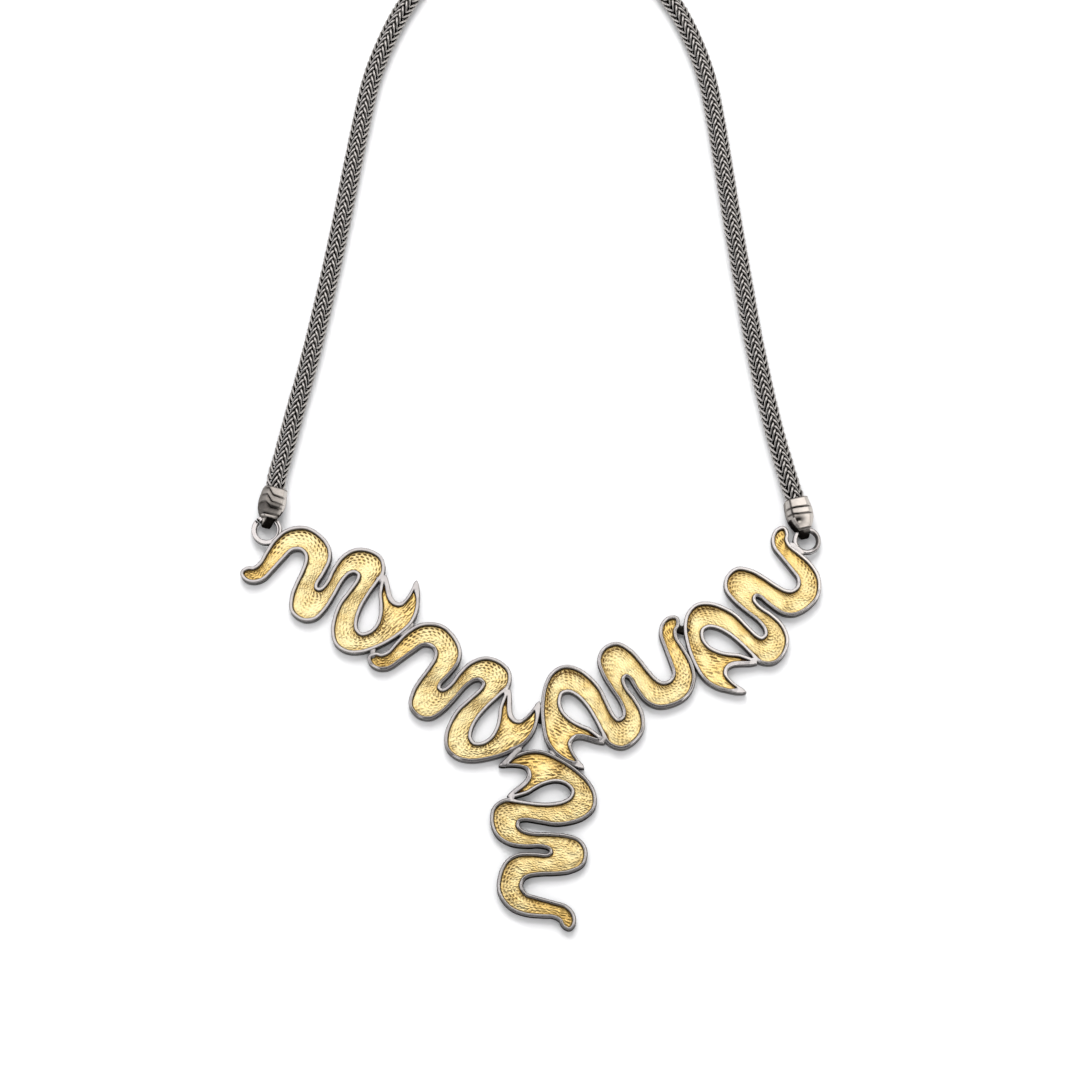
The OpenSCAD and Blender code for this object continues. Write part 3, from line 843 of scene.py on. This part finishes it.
def tone_and_painted_light_left(x, y, z):
    """How dark the left cap is at a section: dull in front and darker towards its eye, with a dark spot, a
    painted highlight along its right corner that turns to painted shade low down, a painted highlight across
    its top near the eye, and at the eye a painted highlight on the left and painted shade on the right.
    """
    dark = 0.40 - 0.16 * rising(y, 2.8, 2.0) - 0.05 * x
    dark += 0.16 * falling(y, 3.3, 0.8) + 0.35 * spot(x, y, 0.4, 2.45, 1.1, 0.4)
    dark -= 0.95 * hump(y - 0.42, 0.22) * (z > 3.2)
    dark[RIGHT_BEVEL] = -0.1 if y > 2.1 else 1.0
    edge = np.flatnonzero(RIGHT_BEVEL)[-1]
    dark[edge - 2:edge + 2] = -0.1
    if y < 0.1:
        dark[:] = rising(x, 0.33 * y - 0.75, 0.25)
    return dark


def tone_and_painted_light_right(x, y, z):
    """How dark the right cap is at a section: bright and lighter towards its right, with a stain above the
    eye that holds a painted reflection, a dark line along its upper left corner, a black band low on its
    left flank beside a bright line, and painted shade over the eye. It doesn't depend on the height z."""
    dark = 0.14 - 0.10 * np.clip(x + 1, -1, 2)
    dark += 0.95 * spot(x, y, -1.0, 2.0, 1.35, 0.8) - 0.9 * spot(x, y, -0.85, 1.5, 0.4, 0.22)
    edge = np.flatnonzero(LEFT_BEVEL)[0]
    dark[LEFT_BEVEL] = 0.1
    dark[edge - 1:edge + 1] = 0.75 if y > 2.6 else 0.0
    if y < 2.5:
        dark[edge + 1] = 0.0
        dark[edge + 3] = 0.8
        dark[edge + 4:edge + 7] = 1.0
    if y < -0.15:
        dark[:] = 0.66 + 0.4 * falling(y, -0.5, 0.6) + 0.4 * falling(x, -0.1, 0.5)
    return dark


def cap(shape, place, grooves, tone_and_painted_light, last_x, groove_shade):
    """An end cap whose grooves end at last_x. Just under each groove the metal carries painted shade, as
    strong as the last argument says, standing in for the shade under an overhanging tier.
    """
    # Rows lie closer than the sections do
    places = CAP_SECTIONS[:, 0]
    foot = np.linspace(places[0], places[3], 9)[:-1]
    ys = np.concatenate([foot, np.arange(places[3], CAP_L, 0.07), [CAP_L]])
    sizes = np.column_stack([np.interp(ys, places, CAP_SECTIONS[:, k]) for k in range(1, 5)])
    rows = []
    tarnish_and_shade = []
    for y, size in zip(ys, sizes):
        ring = cap_section(*size)
        middle = np.array([0, (size[1] + size[2]) / 2])
        x, z = ring[:, 0], ring[:, 1]
        front = rising(z, 2.2, 0.8) * falling(x, last_x, 0.2)
        strong = 0.65 + 0.35 * rising(x, -1.9, 0.3) * falling(x, -0.2, 0.4)
        cut = np.zeros(len(ring))
        shade_under_groove = np.zeros(len(ring))
        for heights in grooves:
            below = np.interp(x, GROOVE_X, heights) - y
            cut = np.maximum(cut, np.exp(-(below / (GROOVE_W * 0.62)) ** 4))
            shade_under_groove = np.maximum(shade_under_groove, np.where(below > 0, groove_shade * np.exp(-below / 0.55), 0))
        cut = cut * front
        out = ring - middle
        inwards = out * (GROOVE_D / np.maximum(np.linalg.norm(out, axis=1), 0.1))[:, None]
        rounded = 0.1 * math.exp(-((y - CAP_L) / 0.1) ** 2)
        ring = middle + (out - inwards * cut[:, None]) * (1 - rounded)
        rows.append(np.column_stack([ring[:, 0], np.full(len(ring), y), ring[:, 1]]))
        # Painted shade low down, near the floor
        low = 0.95 * falling(z, 2.0, 1.0)
        mouth = np.full(len(ring), 0.8 * rising(y, 6.55, 0.35))
        dark = tone_and_painted_light(x, y, z) + shade_under_groove * front
        tarnish_and_shade.append(np.clip(np.maximum.reduce([dark, cut * strong, low, mouth]), 0, 1))
    n = len(rows[0])
    # The mouth turns in and runs down to the floor of the pocket: height, half width, darkness
    half = CHAIN_W / 2 + POCKET_GAP
    for y, w, dark in ((CAP_L, 2.107, 0.9), (CAP_L - 0.25, 2.009, 1.0), (CAP_L - POCKET_DEPTH, 1.96, 1.0)):
        ring = cap_section(w, CAP_Z - half, CAP_Z + half, 0.75)
        rows.append(np.column_stack([ring[:, 0], np.full(n, y), ring[:, 1]]))
        tarnish_and_shade.append(np.full(n, dark))
    points = cap_points(place, np.vstack(rows))
    shape.add(points, tube_faces(len(rows), n, False), np.concatenate(tarnish_and_shade))


# Chain: folded loops of wire, each hooked through the ones in front of it

# One quarter of a loop from its front fold to its inner crossing: turn from the corner in degrees,
# distance from the middle of the chain, reach along the chain
LOOP = np.array([
    (0, 1.50, 0.00),
    (9, 1.55, 0.22),
    (21, 1.74, 0.85),
    (33, 1.91, 1.50),
    (41, 1.84, 2.02),
    (47, 1.45, 2.42),
    (60, 1.00, 2.66),
    (90, 0.72, 2.80),
])
# Radius of the wire, length of chain to two loops, and sides of the wire
WIRE = 0.245
PITCH = 1.53
AROUND = 7
# Lengths at the two ends of a chain, inside its caps, that have no loops
FRONT_BARE = 1.3
BACK_BARE = 1.0
# Radius and sides of the black core
CORE = 1.05
CORE_AROUND = 12


def roll_at(roll, i):
    return roll if i < 2 else roll * max(0, 1 - (i - 1) / ROLL_POINTS)


def chain_path(first, route, last):
    """Middle line of a chain, with its run, its direction and its roll at each point."""
    def cap_point(place, reach):
        origin, _, ahead, _ = cap_axes(place)
        return origin + reach * ahead

    inside = CAP_L - POCKET_DEPTH + POCKET_GAP
    middle = np.array(route) - [*CENTRE, 0]
    knots = np.vstack([cap_point(first, inside), cap_point(first, CAP_L), middle,
                       cap_point(last, CAP_L), cap_point(last, inside)])
    line = smooth(knots, ROUTE_STEPS)
    rolls = [roll_at(first[3], i) for i in range(len(knots))]
    roll = np.interp(np.arange(len(line)) / ROUTE_STEPS, np.arange(len(knots)), rolls)
    return line, along(line), unit(np.gradient(line, axis=0)), roll


def loop_line():
    """A whole loop, as rows of turn, distance and reach, from its quarter."""
    q = smooth(LOOP, 2)
    mirror = q[::-1][:-1].copy()
    mirror[:, 0] = 180 - mirror[:, 0]
    half = np.vstack([q[:-1], mirror])
    other = half.copy()
    other[:, 0] += 180
    return np.vstack([half, other])


def chain(first, route, last, name, node, material):
    line, run, t, roll = chain_path(first, route, last)
    loop = loop_line()
    stop = run[-1] - BACK_BARE
    count = int((stop - FRONT_BARE - LOOP[-1][2]) / (PITCH / 2)) + 1
    shape = Shape()

    def at(s, turn, r):
        """Points round the chain's middle line at reach s."""
        p = np.column_stack([np.interp(s, run, line[:, k]) for k in range(3)])
        d = unit(np.column_stack([np.interp(s, run, t[:, k]) for k in range(3)]))
        side = unit(np.column_stack([d[:, 1], -d[:, 0], np.zeros(len(s))]))
        up = np.cross(side, d)
        a = np.radians(turn - np.interp(s, run, roll))
        return p + (r * np.cos(a))[:, None] * side + (r * np.sin(a))[:, None] * up

    rng = np.random.default_rng(11)
    ring = np.radians(np.arange(AROUND) * 360 / AROUND)[None, :, None]
    # The rings of a wire run clockwise, so its faces are turned over
    faces = [(a, b, c, d) for a, d, c, b in tube_faces(len(loop), AROUND, True)]
    for k in range(count):
        s = FRONT_BARE + k * PITCH / 2 + loop[:, 2] * (1 + rng.uniform(-0.02, 0.02))
        turn = loop[:, 0] + 45 + 90 * (k % 2) + rng.uniform(-1.5, 1.5)
        r = loop[:, 1] + rng.uniform(-0.02, 0.02)
        wire = at(s, turn, r)
        middle = at(s, turn, np.zeros(len(loop)))
        d = unit(np.roll(wire, -1, 0) - np.roll(wire, 1, 0))
        out = wire - middle
        out = unit(out - (out * d).sum(1)[:, None] * d)
        cross = np.cross(d, out)
        around = np.cos(ring) * out[:, None, :] + np.sin(ring) * cross[:, None, :]
        points = wire[:, None, :] + WIRE * around
        # The crests of the wires are rubbed bright, and 0.22 mm under them the chain is black. They stand
        # lower at the corners of the chain than on its sides.
        depth = np.linalg.norm(points - middle[:, None, :], axis=2)
        crest = np.interp(45 - np.abs(np.mod(turn, 90) - 45), [0, 45], [2.07, 1.71])[:, None]
        tarnish_and_shade = falling(depth, crest, 0.22)
        # The wires that the chain rests on are pressed flat
        points[..., 2] = np.maximum(points[..., 2], 0.01)
        shape.add(points.reshape(-1, 3), faces, tarnish_and_shade.reshape(-1))
    # The wires cross inside the chain, where it is black
    s = np.linspace(FRONT_BARE, stop, 160)
    turns = np.arange(CORE_AROUND) * 360 / CORE_AROUND
    core = np.stack([at(s, np.full(len(s), turn), np.full(len(s), CORE)) for turn in turns], axis=1)
    shape.add(core.reshape(-1, 3), tube_faces(len(s), CORE_AROUND, False), 1.0)
    shape.piece(name, material, node)


# Materials
def metal(name, bright, tarnish_and_shade_colour, rough, grain, bump, edge_tint, mottle=0.25, warm=None):
    """Metal that is bright where it is clean and where a painted highlight is laid, and dark where its
    attribute of tarnish and painted shade says so. Spots as large as grain make its gloss, its height and
    the edge of that darkness uneven. Where warm is given, the warm attribute blends that tint in."""
    mat = bpy.data.materials.new(name)
    mat.use_nodes = True
    tree = mat.node_tree
    nodes, links = tree.nodes, tree.links
    shader = nodes["Principled BSDF"]
    shader.inputs["Metallic"].default_value = 1.0
    shader.inputs["Specular Tint"].default_value = (*edge_tint, 1)
    coords = nodes.new("ShaderNodeTexCoord")
    spots = nodes.new("ShaderNodeTexNoise")
    spots.inputs["Scale"].default_value = 1 / (grain * MM)
    spots.inputs["Detail"].default_value = 4
    links.new(coords.outputs["Object"], spots.inputs["Vector"])

    def attribute(look):
        node = nodes.new("ShaderNodeAttribute")
        node.attribute_name = look
        return node.outputs["Fac"]

    # Uneven edge of the tarnish and painted shade
    edge = nodes.new("ShaderNodeMath")
    edge.operation = "MULTIPLY_ADD"
    edge.inputs[1].default_value = mottle
    edge.inputs[2].default_value = -mottle / 2
    links.new(spots.outputs["Fac"], edge.inputs[0])
    dark = nodes.new("ShaderNodeMath")
    dark.operation = "ADD"
    dark.use_clamp = True
    links.new(attribute("tarnish_and_shade"), dark.inputs[0])
    links.new(edge.outputs["Value"], dark.inputs[1])

    colour = nodes.new("ShaderNodeMix")
    colour.data_type = "RGBA"
    colour.inputs["A"].default_value = (*bright, 1)
    colour.inputs["B"].default_value = (*tarnish_and_shade_colour, 1)
    links.new(dark.outputs["Value"], colour.inputs["Factor"])
    links.new(colour.outputs["Result"], shader.inputs["Base Color"])
    if warm:
        tints = nodes.new("ShaderNodeMix")
        tints.data_type = "RGBA"
        tints.inputs["A"].default_value = (*bright, 1)
        tints.inputs["B"].default_value = (*warm, 1)
        links.new(attribute("warm"), tints.inputs["Factor"])
        links.new(tints.outputs["Result"], colour.inputs["A"])

    gloss = nodes.new("ShaderNodeMapRange")
    gloss.inputs["To Min"].default_value = rough[0]
    gloss.inputs["To Max"].default_value = rough[1]
    links.new(spots.outputs["Fac"], gloss.inputs["Value"])
    dull = nodes.new("ShaderNodeMix")
    dull.inputs["B"].default_value = 0.75
    links.new(dark.outputs["Value"], dull.inputs["Factor"])
    links.new(gloss.outputs["Result"], dull.inputs["A"])
    links.new(dull.outputs["Result"], shader.inputs["Roughness"])

    relief = nodes.new("ShaderNodeBump")
    relief.inputs["Strength"].default_value = 1.0
    relief.inputs["Distance"].default_value = bump * MM
    links.new(spots.outputs["Fac"], relief.inputs["Height"])
    links.new(relief.outputs["Normal"], shader.inputs["Normal"])
    return mat


silver = metal("polished_silver", (0.53, 0.51, 0.50), (0.022, 0.018, 0.014), (0.18, 0.30), 0.9, 0.02,
               (0.15, 0.15, 0.15))
dull_silver = metal("worn_silver", (0.61, 0.57, 0.53), (0.016, 0.013, 0.011), (0.28, 0.42), 0.7, 0.04,
                    (0.3, 0.3, 0.3))
gilt = metal("gilded_scales", (0.84, 0.725, 0.39), (0.18, 0.088, 0.023), (0.22, 0.36), 0.32, 0.035,
             (0.9, 0.8, 0.6), mottle=0.3, warm=(0.88, 0.61, 0.20))
wire_silver = metal("oxidised_wire", (0.58, 0.555, 0.53), (0.010, 0.009, 0.008), (0.20, 0.34), 0.8, 0.01,
                    (0.15, 0.15, 0.15))

# Build the pieces
silver_frame = Shape()
for i, wall in enumerate(WALLS):
    casting(silver_frame, i, wall)
for row in SOLDER:
    solder(silver_frame, row)
side_ring(silver_frame, LEFT_RING, 0.22, (-0.05, 0.14), RING_CUT)
side_ring(silver_frame, RIGHT_RING, 0.45, (-0.26, 0.32), 0)
silver_frame.piece("silver_frame", silver, "snake_frame", 60)

grid = Grid()
for i, scales in enumerate(SCALES):
    skin(grid, i, scales, gilt)

for place, name, node, grooves, tone_and_painted_light, last_x, groove_shade in (
        (LEFT_CAP, "cap_left", "end_cap_left", LEFT_GROOVES, tone_and_painted_light_left, 2.2, 0.38),
        (RIGHT_CAP, "cap_right", "end_cap_right", RIGHT_GROOVES, tone_and_painted_light_right, 2.6, 0.15),
        (LEFT_BACK_CAP, "cap_back_left", "back_cap_left", RIGHT_GROOVES, tone_and_painted_light_right, 2.6, 0.15),
        (RIGHT_BACK_CAP, "cap_back_right", "back_cap_right", RIGHT_GROOVES, tone_and_painted_light_right, 2.6, 0.15)):
    shape = Shape()
    cap(shape, place, grooves, tone_and_painted_light, last_x, groove_shade)
    shape.piece(name, dull_silver, node, 50)

chain(LEFT_CAP, LEFT_ROUTE, LEFT_BACK_CAP, "woven_chain_left", "chain_left", wire_silver)
chain(RIGHT_CAP, RIGHT_ROUTE, RIGHT_BACK_CAP, "woven_chain_right", "chain_right", wire_silver)

clasp = Shape()
clasp_band(clasp)
clasp.piece("oval_clasp", silver, "clasp", 60)

# Floor, world, lights and camera
FLOOR_REACH = 3
floor_mesh = bpy.data.meshes.new("floor")
floor_corners = [(x * FLOOR_REACH, y * FLOOR_REACH, 0) for x, y in ((-1, -1), (1, -1), (1, 1), (-1, 1))]
floor_mesh.from_pydata(floor_corners, [], [(0, 1, 2, 3)])
floor = bpy.data.objects.new("floor", floor_mesh)
bpy.context.scene.collection.objects.link(floor)
paper = bpy.data.materials.new("paper")
paper.use_nodes = True
paper_inputs = paper.node_tree.nodes["Principled BSDF"].inputs
paper_inputs["Base Color"].default_value = (0.93, 0.93, 0.935, 1)
paper_inputs["Roughness"].default_value = 1.0
paper_inputs["Specular IOR Level"].default_value = 0.0
floor_mesh.materials.append(paper)

world = bpy.data.worlds.new("studio")
world.use_nodes = True
world.node_tree.nodes["Background"].inputs["Color"].default_value = (0.11, 0.11, 0.115, 1)
bpy.context.scene.world = world


def panel(name, place, aim, size, radiance, colour, mirrored):
    """A flat light. One that is mirrored shows in the metal, and the others light the floor."""
    light = bpy.data.lights.new(name, "AREA")
    light.shape = "RECTANGLE"
    light.size, light.size_y = size
    light.energy = radiance * size[0] * size[1] * math.pi
    light.color = colour
    obj = bpy.data.objects.new(name, light)
    obj.location = place
    obj.rotation_euler = (Vector(aim) - Vector(place)).to_track_quat("-Z", "Y").to_euler()
    obj.visible_glossy = mirrored
    obj.visible_diffuse = not mirrored
    bpy.context.scene.collection.objects.link(obj)


for name, x, radiance, colour in (
        ("left", -0.48, 1.45, (0.99, 0.96, 1.0)),
        ("middle", 0.0, 1.6, (1.0, 0.975, 0.97)),
        ("right", 0.48, 1.85, (1.0, 0.965, 0.92))):
    panel("ceiling_" + name, (x, 0.42, 0.70), (x, 0.42, 0.0), (0.48, 1.05), radiance, colour, True)
panel("wall_far", (0.0, 1.30, 0.35), (0.0, 0.0, 0.35), (2.4, 0.7), 0.8, (1, 1, 1), True)
panel("wall_near", (0.0, -1.30, 0.50), (0.0, 0.0, 0.25), (2.4, 0.5), 0.7, (1, 1, 1), True)
panel("wall_left", (-1.2, 0.2, 0.35), (0.0, 0.2, 0.35), (1.6, 0.7), 0.95, (1, 1, 1), True)
panel("wall_right", (1.2, 0.2, 0.35), (0.0, 0.2, 0.35), (1.6, 0.7), 0.9, (1, 0.98, 0.95), True)
panel("key", (-0.05, 0.74, 1.10), (0.0, 0.05, 0.0), (0.7, 0.8), 6.6, (1, 1, 1), False)
panel("fill", (0.0, 0.10, 1.20), (0.0, 0.1, 0.0), (5.0, 5.0), 0.84, (1, 1, 1), False)

# The camera looks down at 77 degrees, from 0.69 m away
camera_data = bpy.data.cameras.new("camera")
camera_data.sensor_width = 36
camera_data.lens = 104.545
camera_data.clip_start = 0.01
camera = bpy.data.objects.new("camera", camera_data)
aim = Vector((0.002, -0.0296, 0.0))
camera.location = aim + Vector((0, -0.1552, 0.6723))
camera.rotation_euler = (aim - camera.location).to_track_quat("-Z", "Y").to_euler()
bpy.context.scene.collection.objects.link(camera)
bpy.context.scene.camera = camera
bpy.context.scene.view_settings.view_transform = "Standard"
